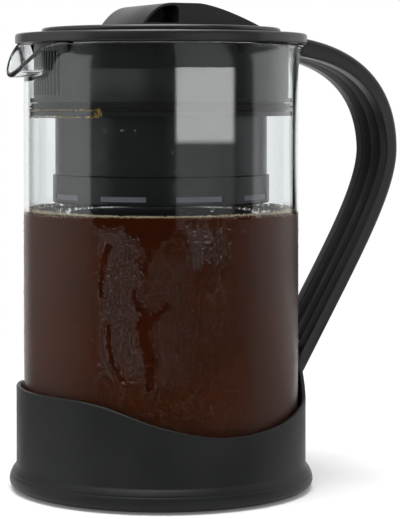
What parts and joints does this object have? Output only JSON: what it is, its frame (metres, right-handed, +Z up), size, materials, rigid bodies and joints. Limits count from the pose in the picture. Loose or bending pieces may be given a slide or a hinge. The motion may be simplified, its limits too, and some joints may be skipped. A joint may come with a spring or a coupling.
{
  "type": "cold brew coffee maker",
  "caption": "Glass jug in a black cradle with a loop handle; a lidded strainer insert hangs inside and lifts out.",
  "frame": {"origin": "on the table, below the jug's own axis, in the plane of the base pad's underside", "axes": "+Z up along the jug; +X towards the handle; the spout points along -X"},
  "size_m": [0.1747, 0.1264, 0.2001],
  "materials": {
    "moulded_black_plastic": "moulded, satin black",
    "lid_black_plastic": "moulded, fine satin black",
    "soft_grip": "soft touch strip, matt",
    "black_silicone": "silicone, matt",
    "clear_glass": "clear blown glass",
    "stainless_steel": "stainless steel"
  },
  "bodies": {
    "stand": {"cradle": "moulded_black_plastic", "base_pad": "black_silicone", "jug_cushion": "black_silicone", "handle_shell": "moulded_black_plastic", "handle_grip": "soft_grip", "handle_screw_0": "stainless_steel", "handle_screw_1": "stainless_steel", "rim_bumper": "black_silicone"},
    "jug": {"glass_jug": "clear_glass"},
    "insert": {"collar_seal": "black_silicone"},
    "lid": {"lid_ring": "lid_black_plastic", "pour_skirt": "lid_black_plastic", "filter_collar": "lid_black_plastic"},
    "cap": {"lid_cap": "lid_black_plastic", "cap_seal": "black_silicone", "cap_grip": "lid_black_plastic"},
    "basket_carrier": {"basket_seal": "black_silicone"},
    "basket": {"basket_wall": "lid_black_plastic"},
    "drain_carrier": {"drain_seal": "black_silicone"},
    "drain": {"drain_cap": "lid_black_plastic", "screen_ring": "stainless_steel", "mesh_screen": "stainless_steel"}
  },
  "joints": [
    {"name": "jug_lift", "type": "slide", "parent": "stand", "child": "jug", "axis": [0, 0, 1], "range_m": [0, 0.185]},
    {"name": "insert_lift", "type": "slide", "parent": "jug", "child": "insert", "axis": [0, 0, 1], "range_m": [0, 0.075]},
    {"name": "lid_turn", "type": "hinge", "parent": "insert", "child": "lid", "pos_m": [0, 0, 0.158], "axis": [0, 0, 1], "continuous": true},
    {"name": "cap_lift", "type": "slide", "parent": "lid", "child": "cap", "axis": [0, 0, 1], "range_m": [0, 0.04]},
    {"name": "basket_drop", "type": "slide", "parent": "lid", "child": "basket_carrier", "axis": [0, 0, -1], "range_m": [0, 0.035]},
    {"name": "basket_twist", "type": "hinge", "parent": "basket_carrier", "child": "basket", "pos_m": [0, 0, 0.158], "axis": [0, 0, 1], "range_deg": [0, 30]},
    {"name": "drain_drop", "type": "slide", "parent": "basket", "child": "drain_carrier", "axis": [0, 0, -1], "range_m": [0, 0.03]},
    {"name": "drain_twist", "type": "hinge", "parent": "drain_carrier", "child": "drain", "pos_m": [0, 0, 0.1265], "axis": [0, 0, 1], "range_deg": [0, 30]}
  ]
}
